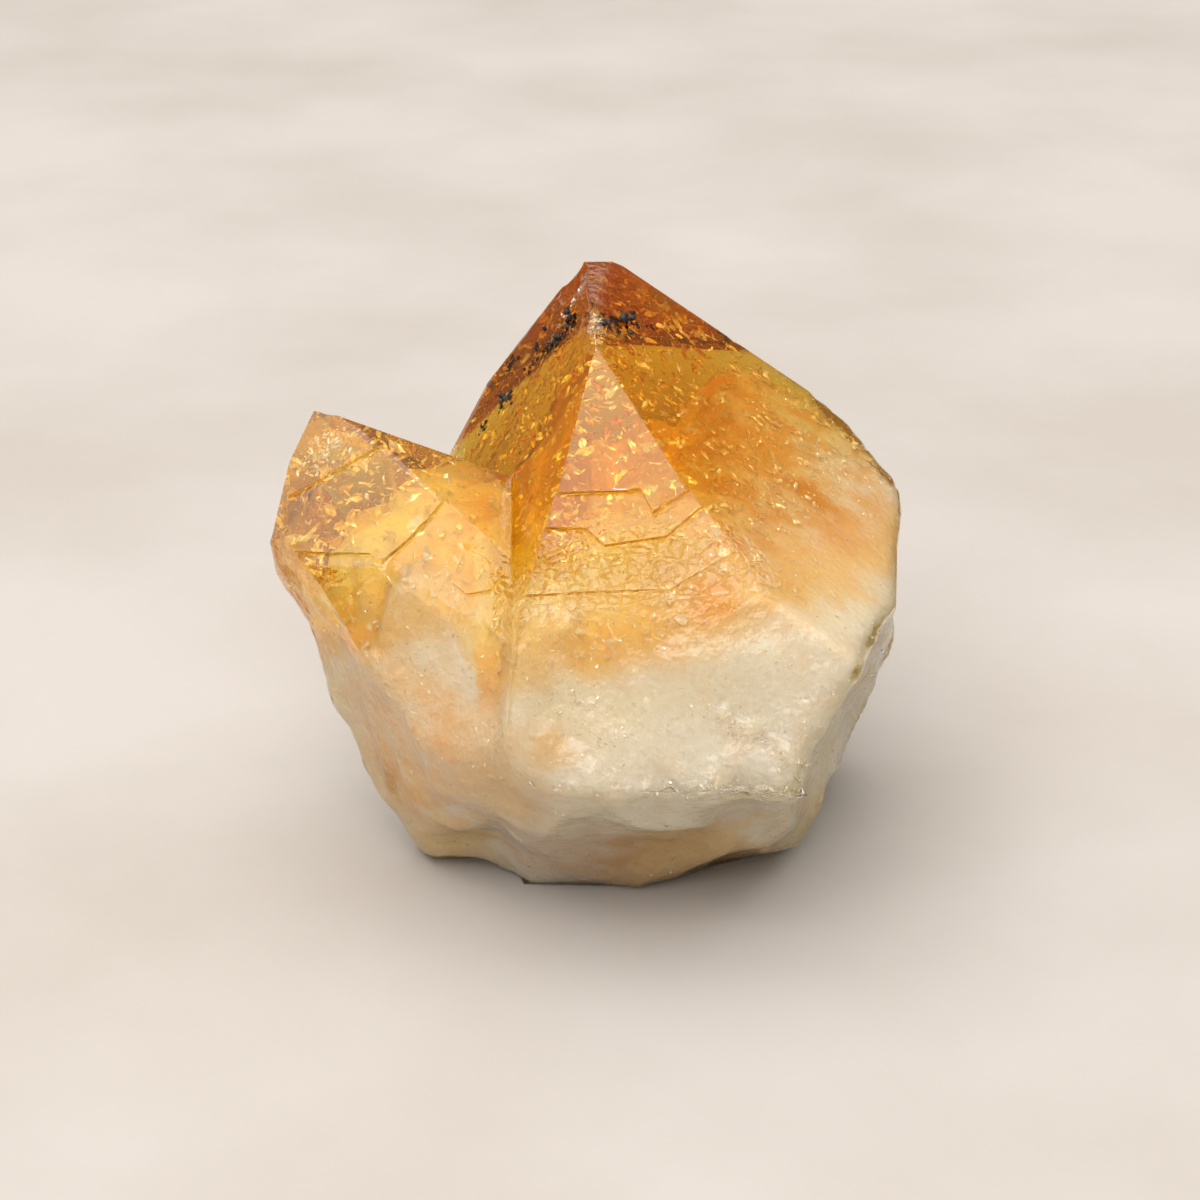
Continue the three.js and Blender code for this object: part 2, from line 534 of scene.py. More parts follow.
def maths(tree: Tree, operation: str, *values: Socket | float) -> Socket:
    """A Math node on sockets and numbers.

    Args:
        tree: the node tree.
        operation: its name, such as "ADD".
        values: sockets or numbers in the order of the node's inputs.

    Returns:
        The socket with the result.
    """
    numbers = {index: value for index, value in enumerate(values) if isinstance(value, float)}
    sockets = {index: value for index, value in enumerate(values) if not isinstance(value, float)}
    return add(tree, "Math", {"operation": operation, **numbers}, sockets).outputs[0]


def mapped(
    tree: Tree, value: Socket, source: tuple[float, float], target: tuple[float, float]
) -> Socket:
    """Moves a value from one range to another and holds it there.

    Args:
        tree: the node tree.
        value: the value.
        source: the range it comes from.
        target: the range it goes to.

    Returns:
        The socket with the moved value.
    """
    ends = {"From Min": source[0], "From Max": source[1], "To Min": target[0], "To Max": target[1]}
    return add(tree, "MapRange", ends, {"Value": value}).outputs[0]


def toned(tree: Tree, value: Socket, stops: tuple[tuple[float, str], ...]) -> Socket:
    """Turns a value into a colour by a ramp.

    Args:
        tree: the node tree.
        value: the value, from 0 to 1.
        stops: places on the ramp and their colours, in rising order.

    Returns:
        The socket with the colour.
    """
    node = add(tree, "ValToRGB", {}, {"Fac": value})
    elements = node.color_ramp.elements
    for position, _ in stops[1:-1]:
        elements.new(position)
    for element, (position, colour) in zip(elements, stops):
        element.position, element.color = position, linear(colour)
    return node.outputs["Color"]


def times(tree: Tree, one: Socket, other: Socket) -> Socket:
    """The product of two colours."""
    settings = {"data_type": "RGBA", "blend_type": "MULTIPLY", "Factor": 1.0}
    return add(tree, "Mix", settings, {6: one, 7: other}).outputs[2]


def bumped(tree: Tree, height: Socket, strength: float, relief: float) -> Socket:
    """The normal bent by a height, which is relief mm from black to white."""
    return add(
        tree, "Bump", {"Strength": strength, "Distance": relief * MM}, {"Height": height}
    ).outputs[0]


@dataclass(frozen=True)
class GrownQuartz:
    """Quartz as it grew: glass-clear faces, striped prisms and frosted breaks, with amber in its depth.

    The eye sees a wet gloss on the tips, a soft bloom on the body, and colour that deepens with
    the length of clear crystal it looks through.
    """

    ior: float = 1.544
    amber: str = "FAE950"  # what is left of white light, which with the density gives honey at 6 mm
    density: float = 190.0  # absorption per metre
    gloss: float = 0.18
    clear_roughness: float = 0.03
    frosted_roughness: float = 0.15
    grain: float = 0.22  # mm, the pits of a frosted break
    pit: float = 0.7  # mm, the small bright facets of a frosted break
    pit_share: float = 1.6  # how strong they are beside the grain
    ripple: float = 1.8  # mm, the waves of a growth face
    wave_share: float = 0.05  # how strong they are beside the grain
    fold: float = 0.9  # mm between the crinkles of the front face
    fold_bend: float = 1.1  # mm, how far apart their bends are and how far they go
    fold_width: float = 0.22  # how much of a crinkle is slope
    fold_share: float = 2.8  # how strong the crinkles are
    bump: float = 0.5
    relief: float = 0.15  # mm

    def build(self) -> bpy.types.Material:
        """Makes the material.

        Returns:
            The material.
        """
        material, tree, place = blank("citrine_quartz_grown")
        frost = stored(tree, "frost").outputs["Fac"]
        grain = mottled(tree, place, self.grain, 3.0)
        pits = add(tree, "TexVoronoi", {"Scale": per_mm(self.pit)}, {"Vector": place})
        uneven = maths(tree, "MULTIPLY_ADD", pits.outputs["Distance"], self.pit_share, grain)
        frosted = maths(tree, "MULTIPLY", uneven, frost)
        waves = mottled(tree, place, self.ripple, 1.0)
        rippled = maths(tree, "MULTIPLY_ADD", waves, self.wave_share, frosted)
        striped = maths(tree, "ADD", rippled, stored(tree, "striae").outputs["Fac"])
        folded = maths(
            tree, "MULTIPLY", self.folds(tree, place), stored(tree, "crinkle").outputs["Fac"]
        )
        height = maths(tree, "ADD", striped, folded)
        rough = mapped(tree, frost, (0.0, 1.0), (self.clear_roughness, self.frosted_roughness))
        output = surfaced(
            tree,
            {"Transmission Weight": 1.0, "IOR": self.ior, "Specular IOR Level": self.gloss},
            {
                "Base Color": stored(tree, "tint").outputs["Color"],
                "Roughness": rough,
                "Normal": bumped(tree, height, self.bump, self.relief),
            },
        )
        absorb = add(tree, "VolumeAbsorption", {"Color": linear(self.amber), "Density": self.density})
        tree.links.new(absorb.outputs[0], output.inputs["Volume"])
        return material

    def folds(self, tree: Tree, place: Socket) -> Socket:
        """The crinkles' height: the distance from the edges of bent cells, cut off past their slope.

        Args:
            tree: the node tree.
            place: the Object coordinates.

        Returns:
            The socket with the height.
        """
        bend = add(tree, "TexNoise", {"Scale": per_mm(self.fold_bend)}, {"Vector": place})
        shift = add(
            tree, "VectorMath", {"operation": "SCALE", "Scale": self.fold_bend * MM},
            {0: bend.outputs["Color"]},
        )
        bent = add(tree, "VectorMath", {"operation": "ADD"}, {0: place, 1: shift.outputs[0]})
        cells = add(
            tree, "TexVoronoi", {"Scale": per_mm(self.fold), "feature": "DISTANCE_TO_EDGE"},
            {"Vector": bent.outputs[0]},
        )
        return mapped(
            tree, cells.outputs["Distance"], (0.0, self.fold_width), (0.0, self.fold_share)
        )


@dataclass(frozen=True)
class MilkyQuartz:
    """Quartz full of tiny bubbles of fluid, grown before the clear part: soft, chalky and pale.

    The eye sees a cream cloud with whiter wisps and peach patches. Its stains and patches of painted
    shade are on the piece.
    """

    peach: str = "FDF5EC"
    cream: str = "FEFDFA"
    white: str = "FFFEFC"
    dust: str = "FCF8F3"
    clean: str = "FFFFFF"
    wisp: float = 2.4  # mm
    speck: float = 0.5  # mm between specks of dust
    sugar: float = 0.45  # mm, the grain of the cloud's own surface
    bump: float = 0.7
    relief: float = 0.25  # mm
    roughness: float = 0.9
    gloss: float = 0.2

    def build(self) -> bpy.types.Material:
        """Makes the material.

        Returns:
            The material.
        """
        material, tree, place = blank("milky_quartz_cloud")
        wisps = mottled(tree, place, self.wisp, 6.0)
        tone = toned(tree, wisps, ((0.35, self.peach), (0.48, self.cream), (0.62, self.white)))
        # The stored colour carries the stains and the patches of painted shade.
        stained_and_shaded = times(tree, tone, stored(tree, "stain_and_shade").outputs["Color"])
        specks = add(tree, "TexVoronoi", {"Scale": per_mm(self.speck)}, {"Vector": place})
        dust = toned(tree, specks.outputs["Distance"], ((0.10, self.dust), (0.45, self.clean)))
        sugar = mottled(tree, place, self.sugar, 4.0)
        surfaced(
            tree,
            {"Roughness": self.roughness, "Specular IOR Level": self.gloss},
            {
                "Base Color": times(tree, stained_and_shaded, dust),
                "Normal": bumped(tree, sugar, self.bump, self.relief),
            },
        )
        return material


@dataclass(frozen=True)
class HealedCrack:
    """A crack in the crystal that healed and kept a film of fluid: it mirrors light from inside.

    The eye sees gold and yellow flecks hanging in the amber.
    """

    film: str = "FFF3DC"
    metallic: float = 0.45
    smoothest: float = 0.18  # roughness
    roughest: float = 0.45
    mottle: float = 0.5  # mm
    bump: float = 0.5
    relief: float = 0.05  # mm

    def build(self) -> bpy.types.Material:
        """Makes the material.

        Returns:
            The material.
        """
        material, tree, place = blank("healed_crack_film")
        mottle = mottled(tree, place, self.mottle, 3.0)
        surfaced(
            tree,
            {"Base Color": linear(self.film), "Metallic": self.metallic},
            {
                "Roughness": mapped(tree, mottle, (0.0, 1.0), (self.smoothest, self.roughest)),
                "Normal": bumped(tree, mottle, self.bump, self.relief),
            },
        )
        return material


@dataclass(frozen=True)
class FluidFleck:
    """A tiny crack full of fluid in quartz: white, with a soft shine.

    The eye sees frost-white dots and dotted streaks just under the skin.
    """

    white: str = "FFFDF8"
    shade: str = "F6EEE2"
    mottle: float = 0.3  # mm
    roughness: float = 0.22
    metallic: float = 0.4

    def build(self) -> bpy.types.Material:
        """Makes the material.

        Returns:
            The material.
        """
        material, tree, place = blank("quartz_fluid_fleck")
        mottle = mottled(tree, place, self.mottle, 2.0)
        tone = toned(tree, mottle, ((0.0, self.shade), (1.0, self.white)))
        surfaced(
            tree, {"Roughness": self.roughness, "Metallic": self.metallic}, {"Base Color": tone}
        )
        return material


@dataclass(frozen=True)
class IronOxide:
    """Goethite grains caught as the tip grew: nearly black, with a dull crust.

    The eye sees ink-dark, ragged specks under the tips.
    """

    black: str = "070505"
    brown: str = "1C0E08"
    crust: float = 0.3  # mm
    bump: float = 0.6
    relief: float = 0.05  # mm
    roughness: float = 0.55

    def build(self) -> bpy.types.Material:
        """Makes the material.

        Returns:
            The material.
        """
        material, tree, place = blank("iron_oxide_crust")
        crust = mottled(tree, place, self.crust, 3.0)
        surfaced(
            tree,
            {"Roughness": self.roughness},
            {
                "Base Color": toned(tree, crust, ((0.0, self.black), (1.0, self.brown))),
                "Normal": bumped(tree, crust, self.bump, self.relief),
            },
        )
        return material


@dataclass(frozen=True)
class PaleGround:
    """A matt limewashed board under the crystal: warm white with faint, wide clouds."""

    light: str = "B2ADA9"
    shade: str = "A8A29C"
    cloud: float = 45.0  # mm
    roughness: float = 0.85
    gloss: float = 0.25

    def build(self) -> bpy.types.Material:
        """Makes the material.

        Returns:
            The material.
        """
        material, tree, place = blank("limewashed_ground")
        clouds = mottled(tree, place, self.cloud, 5.0)
        surfaced(
            tree,
            {"Roughness": self.roughness, "Specular IOR Level": self.gloss},
            {"Base Color": toned(tree, clouds, ((0.35, self.shade), (0.62, self.light)))},
        )
        return material


# --- the crystals -----------------------------------------------------------------------------
class Part(Enum):
    """Which surface of the specimen a point is on."""

    GROWTH = 1
    PRISM = 2
    BREAK = 3


MILK_TOP = 12.5  # mm, the clear height where the milk ends
CLEAR_SPAN = 20.0  # mm, from there to where the clear part is deepest
DEEPEST = 14.5  # mm, how deep the cloud lies there
SHALLOWEST = 0.36  # mm, how deep it lies under the body
SHOULDER = (17.0, 5.0, 27.0)  # mm, the main crystal's right shoulder
SIDE_STEP = 8.3  # mm, how much further up its own axis the side crystal's milk ends
VALLEY = (-9.5, -6.5)  # mm, X over which the side crystal gives way to the main one


def clear_height(points: np.ndarray) -> np.ndarray:
    """How far up the clear zone a place is: 12.5 where the milk ends, about 36 at the main tip.

    It is the height along the crystal's long axis, less on the right where the milk comes up to
    the shoulder, and the two crystals' values blend across the valley between them.

    Args:
        points: places in mm.

    Returns:
        Heights in mm.
    """
    x = points[:, 0]
    main = points @ MAIN_AXES[:, 2] - 0.15 * np.maximum(0, x - 9) - 0.6 * np.maximum(0, x - 17)
    side = points @ SIDE_AXES[:, 2] - SIDE_STEP
    shoulder = ramp(np.linalg.norm(points - np.array(SHOULDER), axis=1), 5.5, 2.0)
    return side + (main - side) * ramp(x, *VALLEY) - 2.5 * shoulder


def clear_depth(points: np.ndarray) -> np.ndarray:
    """How deep the milky cloud lies under places on the skin.

    It sinks from the top of the milk to the tips, in lumps, and sinks less to the right, where a
    haze stays close under the face.

    Args:
        points: places in mm.

    Returns:
        Depths in mm.
    """
    lumps = 3.0 * layered(points, 3.2, 4, 11)
    thin = 0.6 * ramp(layered(points, 6.0, 4, 71), 0.0, 0.8)
    haze = 0.80 * ramp(points[:, 0] + 1.5 * layered(points, 3.0, 3, 81), 3.5, 11.0)
    rise = np.clip((clear_height(points) + lumps - MILK_TOP) / CLEAR_SPAN, 0, 1)
    return SHALLOWEST + thin + DEEPEST * (1 - haze) * rise


@dataclass
class CrystalSkin:
    """The outer surface of the two crystals, from the frame's own solid with its fine relief."""

    longest_edge: float = 0.70
    crease: float = 24.0  # degrees
    sharp: float = 28.0  # degrees
    growth_tilt: float = 51.8  # degrees from the long axis to a growth face
    growth_play: float = 9.5  # degrees off that angle that still count
    prism_play: float = 9.0  # degrees
    swell: float = 0.60  # mm, the wide waves of a break
    ripple: float = 0.14  # mm, the small ones
    rib: float = 1.6  # mm, the hollows between upright ribs
    nick: float = 0.30  # mm off an edge here and there
    wear: float = 0.03  # mm off every edge
    scallop: float = 0.75  # mm, the bites out of the lip
    lip: tuple[Place, Place] = ((4.0, -18.9, 12.9), (13.1, -19.0, 12.5))
    scar: tuple[Place, Place] = ((7.5, -17.0, 18.0), (13.5, -18.5, 14.0))
    worn: tuple[tuple[Place, Place], ...] = (
        ((-5.8, -16.8, 13.3), (-5.5, -9.9, 5.7)),  # the valley between the crystals at the front
        ((-5.5, -9.9, 5.7), (-5.3, -4.8, 0.0)),
        ((-5.3, -18.8, 13.1), (-4.6, -8.1, 0.0)),  # the corner beside it
        ((-5.3, -18.8, 13.1), (2.5, -18.9, 12.9)),  # the left end of the lip
        ((-8.8, -15.3, 11.6), (-11.0, -7.9, 3.5)),  # the side crystal's lower edge
    )
    base: Shell = field(init=False)
    surface: np.ndarray = field(init=False)

    def read(self, node: bpy.types.Object) -> None:
        """Takes a merged copy of the solid.

        Args:
            node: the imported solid.
        """
        mesh = node.data
        points = np.empty(len(mesh.vertices) * 3)
        mesh.vertices.foreach_get("co", points)
        points = points.reshape(-1, 3) / MM
        mesh.calc_loop_triangles()
        faces = np.empty(len(mesh.loop_triangles) * 3, int)
        mesh.loop_triangles.foreach_get("vertices", faces)
        _, first, merged = np.unique(np.round(points, 3), axis=0, return_index=True, return_inverse=True)
        faces = merged[faces].reshape(-1, 3)
        solid = (faces[:, 0] != faces[:, 1]) & (faces[:, 1] != faces[:, 2]) & (faces[:, 2] != faces[:, 0])
        self.base = Shell(points[first], faces[solid])

    def kinds(self, normals: np.ndarray) -> np.ndarray:
        """Sorts faces into growth faces, prisms and breaks by the way they face.

        Args:
            normals: unit vectors.

        Returns:
            The value of a Part for each.
        """
        growth = np.zeros(len(normals), bool)
        prism = np.zeros(len(normals), bool)
        for axes in (MAIN_AXES, SIDE_AXES):
            for azimuth in range(30, 390, 60):
                face = face_normal(axes, azimuth, self.growth_tilt)
                growth |= normals @ face > math.cos(math.radians(self.growth_play))
            prism |= np.abs(normals @ axes[:, 2]) < math.sin(math.radians(self.prism_play))
        rest = np.where(prism, Part.PRISM.value, Part.BREAK.value)
        return np.where(growth, Part.GROWTH.value, rest)

    def build(self) -> bpy.types.Object:
        """Makes the skin with its relief, its sharp edges and the attributes its finish reads.

        Returns:
            The skin.
        """
        shell = self.base.refined(self.longest_edge)
        kind = self.kinds(shell.face_normals())
        share = {part: shell.share(kind == part.value) for part in Part}
        start = shell.points
        on_crease = np.zeros(len(start), bool)
        on_crease[shell.creases(self.crease).reshape(-1)] = True
        lip = (from_line(start, *self.lip) < 0.9) & on_crease
        crisp = (share[Part.GROWTH] > 0) | (start[:, 2] < 0.3) | (start[:, 2] > 24)
        crisp = on_crease & (crisp & (start[:, 0] < 15) | lip)
        shell = shell.smoothed(crisp, 9)
        soft = np.min([from_line(shell.points, *stretch) for stretch in self.worn], axis=0)
        shell = shell.smoothed((soft > 3.0) | (shell.points[:, 2] < 0.3) | lip, 50)
        normals = shell.point_normals()
        near_edge = 1 - shell.distance_from(crisp, 1.0)
        p = shell.points
        moved = p + normals * self.relief(p, 1 - share[Part.GROWTH], near_edge)[:, None]
        moved = np.clip(moved, self.base.points.min(axis=0), self.base.points.max(axis=0))
        self.surface = moved
        piece = to_mesh("crystal_skin", Shell(moved, shell.faces))
        piece.data.set_sharp_from_angle(angle=math.radians(self.sharp))
        self.paint(piece.data, p, normals, share, near_edge)
        return piece

    def relief(self, p: np.ndarray, body: np.ndarray, near_edge: np.ndarray) -> np.ndarray:
        """How far each point moves out: lumps on the breaks, less nicks, wear and scallops on edges.

        Args:
            p: places in mm.
            body: 0 on a growth face, 1 elsewhere.
            near_edge: 1 on a crease, 0 from a millimetre away.

        Returns:
            Distances in mm.
        """
        low = ramp(p[:, 2], 25.0, 19.0) * ramp(p[:, 2], 0.0, 0.8)
        waves = self.swell * layered(p, 5.5, 5, 3)
        tall = p * np.array([1.0, 1.0, 0.35])
        ribs = (0.45 - self.rib * np.abs(noise(tall, 4.5, 17))) * ramp(p[:, 2], 14.0, 9.0)
        ribs = ribs + 0.5 * ramp(from_line(p, *self.scar), 1.0, 0.2) * layered(p, 0.8, 2, 23)
        waves = waves + self.ripple * layered(p, 1.6, 2, 29)
        lumps = (waves + ribs) * body * low * (1 - 0.7 * near_edge)
        nicks = -self.nick * near_edge**2 * ramp(layered(p, 1.6, 3, 7), 0.30, 0.80)
        bites = ramp(from_line(p, *self.lip), 2.6, 0.8) * ramp(layered(p, 2.2, 3, 37), -0.1, 0.6)
        wear = -self.wear * near_edge**2 - self.scallop * bites
        return lumps + nicks + wear

    def paint(
        self, mesh: bpy.types.Mesh, p: np.ndarray, normals: np.ndarray,
        share: dict[Part, np.ndarray], near_edge: np.ndarray,
    ) -> None:
        """Stores what the finish reads: frost, striae, crinkle and tint, with painted shade in the tint
        of the left face.

        Args:
            mesh: the skin's mesh.
            p: the places in mm.
            normals: the ways they face.
            share: how much of each sort of surface is round each point.
            near_edge: 1 on a crease, 0 from a millimetre away.
        """
        growth, prism = share[Part.GROWTH], share[Part.PRISM]
        frost = 0.55 * prism + 0.8 * share[Part.BREAK]
        frost = np.clip(frost + 0.25 * layered(p, 2.0, 3, 21) * (frost > 0.05), 0, 1)
        frost = np.maximum(frost, 0.5 * ramp(p[:, 0], 8.0, 17.0))
        tip_wear = ramp(p[:, 2], 33.0, 35.0) * 0.5
        frost = np.maximum(frost, tip_wear * (near_edge > 0.1))
        along = np.where(p[:, 0] < -7, p @ SIDE_AXES[:, 2], p @ MAIN_AXES[:, 2])
        stripe = noise(np.stack([along, along * 0, along * 0], axis=1), 0.55, 31)
        striae = 0.5 * prism * stripe * ramp(p[:, 0], -6.0, -9.0)
        crinkle = growth * ramp(p[:, 1], -9.0, -12.5) * (p[:, 0] > -6) * ramp(p[:, 0], 12.0, 9.0)
        amber = ramp(clear_height(p), 13.0, 22.0) * np.where(p[:, 0] < -9, 0.7, 1.0)
        tip = ramp(p @ MAIN_AXES[:, 2], 31.0, 36.0)
        # Painted shade: where a face looks up and to the left, as the left face beside the side crystal
        # does, its tint is deepened.
        left_face_painted_shade = amber * ramp(normals @ np.array([-0.80, -0.15, 0.58]), 0.90, 0.97) * (p[:, 0] > -9)
        right = amber * ramp(normals @ face_normal(MAIN_AXES, -37.5, 57.5), 0.94, 0.98)
        right = right * ramp(p[:, 0], 16.0, 9.0)
        tint = np.ones((len(p), 3), np.float32)
        wash(tint, 1 - amber, "FFF9F4")
        wash(tint, amber, "FFEDAC")
        wash(tint, tip, "C28A50")
        wash(tint, left_face_painted_shade, "FFE68C")
        wash(tint, right, "FFE6C6")
        store(mesh, "frost", frost)
        store(mesh, "striae", striae)
        store(mesh, "crinkle", crinkle)
        store(mesh, "tint", tint)


@dataclass(frozen=True)
class StainAndShade:
    """A patch of colour in the cloud: most are iron stains, and the ones under the lip and low in the
    middle are painted shade.
    """

    place: Place
    radius: float  # mm
    colour: str


STAINS_AND_SHADE = (
    StainAndShade((8.4, -9.5, 26.5), 2.2, "F6CC70"),  # under the right face's front corner
    StainAndShade((14.2, 0.0, 24.5), 3.0, "F4D698"),  # the oval under the right face
    StainAndShade((7.5, -15.0, 24.0), 2.4, "F8D080"),
    StainAndShade((-13.0, -6.5, 7.5), 2.0, "E8D48C"),  # low on the left
    StainAndShade((-12.0, -6.0, 4.5), 8.0, "FEEBBF"),
    StainAndShade((-13.0, -9.0, 12.0), 9.0, "FFEACC"),
    StainAndShade((-2.5, -17.5, 15.0), 1.8, "F8E9CE"),
    StainAndShade((-6.0, -14.0, 13.0), 7.0, "FFEED8"),
    StainAndShade((6.0, -9.0, 4.0), 9.0, "F5DCAC"),  # the block under the lip: a tan stain, darkened as well as painted shade under the lip
    StainAndShade((-1.5, -11.0, 5.0), 7.0, "F2E8E2"),  # painted shade low in the middle, where the body faces down towards the ground
)


FILL_ROUNDS = 5  # how many cells far the map of the skin spreads into empty ones


@dataclass
class MilkyCloud:
    """The cloud of milky quartz that fills the body and thins out under the tips."""

    centre: Place = (0.5, 0.5, 14.0)
    around: int = 310
    down: int = 190
    outer: np.ndarray = field(init=False)
    inner: np.ndarray = field(init=False)
    least: float = 3.0  # mm from the centre

    def cells(self, directions: np.ndarray) -> tuple[np.ndarray, np.ndarray]:
        """The row and column of the map of directions that unit vectors fall in.

        Args:
            directions: unit vectors.

        Returns:
            The rows and the columns.
        """
        row = np.arccos(np.clip(directions[:, 2], -1, 1)) / np.pi * self.down
        column = np.arctan2(directions[:, 1], directions[:, 0]) / (2 * np.pi) * self.around
        return np.minimum(row.astype(int), self.down - 1), np.floor(column).astype(int) % self.around

    def map_skin(self, surface: np.ndarray) -> np.ndarray:
        """How far the skin is from the centre, by direction: the least distance in each cell.

        Args:
            surface: the skin's points in mm.

        Returns:
            A map with a row for each step down from the pole and a column for each step around.
        """
        away = surface - np.array(self.centre)
        distance = np.linalg.norm(away, axis=1)
        nearest = np.full((self.down, self.around), np.inf)
        np.minimum.at(nearest, self.cells(away / distance[:, None]), distance)
        # An empty cell takes the least of those beside it. A few at the very bottom stay infinite.
        for _ in range(FILL_ROUNDS):
            padded = np.pad(nearest, ((0, 0), (1, 1)), mode="wrap")
            padded = np.pad(padded, ((1, 1), (0, 0)), mode="edge")
            beside = [padded[a : a + self.down, b : b + self.around] for a in range(3) for b in range(3)]
            nearest = np.where(np.isinf(nearest), np.min(beside, axis=0), nearest)
        return nearest

    def build(self, skin: CrystalSkin) -> bpy.types.Object:
        """A ball of directions u, each pulled out to the cloud's depth d under the skin at r(u).

        A point is C + u max(r(u) - d, least), and the whole is smoothed a little.

        Args:
            skin: the skin.

        Returns:
            The cloud.
        """
        centre = np.array(self.centre)
        u = ball_directions(self.down, self.around)
        self.outer = self.map_skin(skin.surface)
        surface = centre + u * self.outer[..., None]
        depth = clear_depth(surface.reshape(-1, 3)).reshape(self.outer.shape)
        self.inner = np.maximum(self.outer - depth, self.least)
        inner = np.append(self.inner.reshape(-1), [self.inner[0].mean(), self.inner[-1].mean()])
        points = centre + ball_poles(u) * inner[:, None]
        shell = Shell(points, ball_faces(self.down, self.around))
        shell = shell.smoothed(np.zeros(len(points), bool), 3)
        piece = to_mesh("milky_cloud", shell)
        self.stain_and_shade(piece.data, shell.points)
        return piece

    def stain_and_shade(self, mesh: bpy.types.Mesh, p: np.ndarray) -> None:
        """Colours the cloud: a honey fringe, cream above, tan mottling at the right, the stains and the
        patches of painted shade.

        Args:
            mesh: the cloud's mesh.
            p: its places in mm.
        """
        colour = np.ones((len(p), 3), np.float32)
        fringe = np.where(p[:, 0] < -7, p @ SIDE_AXES[:, 2] - 8.0, p @ MAIN_AXES[:, 2])
        fringe = fringe + 1.5 * layered(p, 3.0, 3, 51)
        wash(colour, ramp(fringe, 10.0, 12.5) * ramp(fringe, 17.0, 13.5), "FFE6B4")
        wash(colour, ramp(fringe, 3.0, 11.0), "FFFBF3")
        mottle = (0.35 + 0.65 * ramp(layered(p, 1.5, 4, 91), -0.35, 0.35)) * ramp(p[:, 0], 2.0, 7.0)
        wash(colour, mottle * ramp(fringe, 11.5, 16.5) * ramp(p[:, 0], 22.0, 17.5), "F6D39E")
        # The patch under the lip is partly painted shade and the one low in the middle is painted shade;
        # the rest are stains.
        for stain_and_shade in STAINS_AND_SHADE:
            distance = np.linalg.norm(p - np.array(stain_and_shade.place), axis=1)
            core = 0.35 * stain_and_shade.radius
            share = ramp(distance + core * layered(p, 1.5, 3, 61), stain_and_shade.radius, core)
            wash(colour, share, stain_and_shade.colour)
        store(mesh, "stain_and_shade", colour)


def ragged_discs(
    rng: np.random.Generator, middle: np.ndarray, facing: np.ndarray, size: np.ndarray
) -> Shell:
    """Thin ragged discs: a fan of triangles from each middle to an uneven, narrow and bent rim.

    A rim point is m + e cos(a) x + e sin(a) y + f n for the disc's own axes x, y and n, with an
    uneven reach e, a y squeezed by the disc's stretch, and a bend f of up to a quarter of e.

    Args:
        rng: the seeded source of unevenness.
        middle: the middles in mm.
        facing: unit vectors they face.
        size: their radii in mm.

    Returns:
        All the discs as one shell.
    """
    corners = 9
    count = len(middle)
    across = unit(np.cross(facing, rng.normal(size=(count, 3))))
    other = np.cross(facing, across)
    angle = np.arange(corners) * 2 * np.pi / corners
    stretch = rng.uniform(0.12, 0.6, (count, 1))
    edge = size[:, None] * rng.uniform(0.55, 1.0, (count, corners))
    rim = (
        middle[:, None]
        + across[:, None] * (edge * np.cos(angle))[..., None]
        + other[:, None] * (edge * np.sin(angle) * stretch)[..., None]
        + facing[:, None] * (0.25 * edge * rng.uniform(-1, 1, edge.shape))[..., None]
    )
    points = np.concatenate([middle[:, None], rim], axis=1).reshape(-1, 3)
    first = np.arange(count)[:, None] * (corners + 1)
    k = np.arange(corners)
    faces = np.stack([first + 0 * k, first + 1 + k, first + 1 + (k + 1) % corners], axis=2).reshape(-1, 3)
    return Shell(points, faces)


@dataclass
class HealedCracks:
    """Thousands of small bent films between the cloud and the skin, in mm."""

    count: int = 5600
    smallest: float = 0.07
    largest: float = 0.85
    room: float = 0.8  # between cloud and skin where there are any, and the least depth
    deeper: float = 3.2  # how much deeper they are on average
    clearance: float = 0.3  # over the cloud
    glint: Place = (0.0, -0.4, 0.85)  # the way most face
    scatter: float = 0.32
    seed: int = 5

    def build(self, cloud: MilkyCloud) -> bpy.types.Object:
        """Scatters the films by direction and depth.

        Args:
            cloud: the cloud.

        Returns:
            The films as one piece.
        """
        rng = np.random.default_rng(self.seed)
        u = unit(rng.normal(size=(self.count * 16, 3)))
        row, column = cloud.cells(u)
        outer = cloud.outer[row, column]
        gap = outer - cloud.inner[row, column]
        # Directions are even round the centre, so more are kept where the skin is far away.
        far = rng.uniform(0, 1, len(u)) < (outer / outer.max()) ** 2
        keep = np.flatnonzero((gap > self.room) & far)[: self.count]
        u, outer, gap = u[keep], outer[keep], gap[keep]
        below = np.minimum(self.room + rng.exponential(self.deeper, len(keep)), gap - self.clearance)
        middle = np.array(cloud.centre) + u * (outer - below)[:, None]
        size = self.smallest + (self.largest - self.smallest) * rng.uniform(0, 1, len(keep)) ** 4
        size = np.minimum(size, 0.75 * below)
        facing = rng.normal(size=(len(keep), 3)) * self.scatter + np.array(self.glint)
        facing[:, 0] += np.where(middle[:, 0] > -9, 0.09 * np.minimum(middle[:, 0], 0), -0.2)
        shell = ragged_discs(rng, middle, unit(facing), size)
        return to_mesh("healed_cracks", shell, smooth=False)


@dataclass(frozen=True)
class Veil:
    """A streak of tiny cracks just under a face, between two places on it."""

    start: Place
    end: Place
    count: int
    spread: float  # mm
    largest: float  # mm


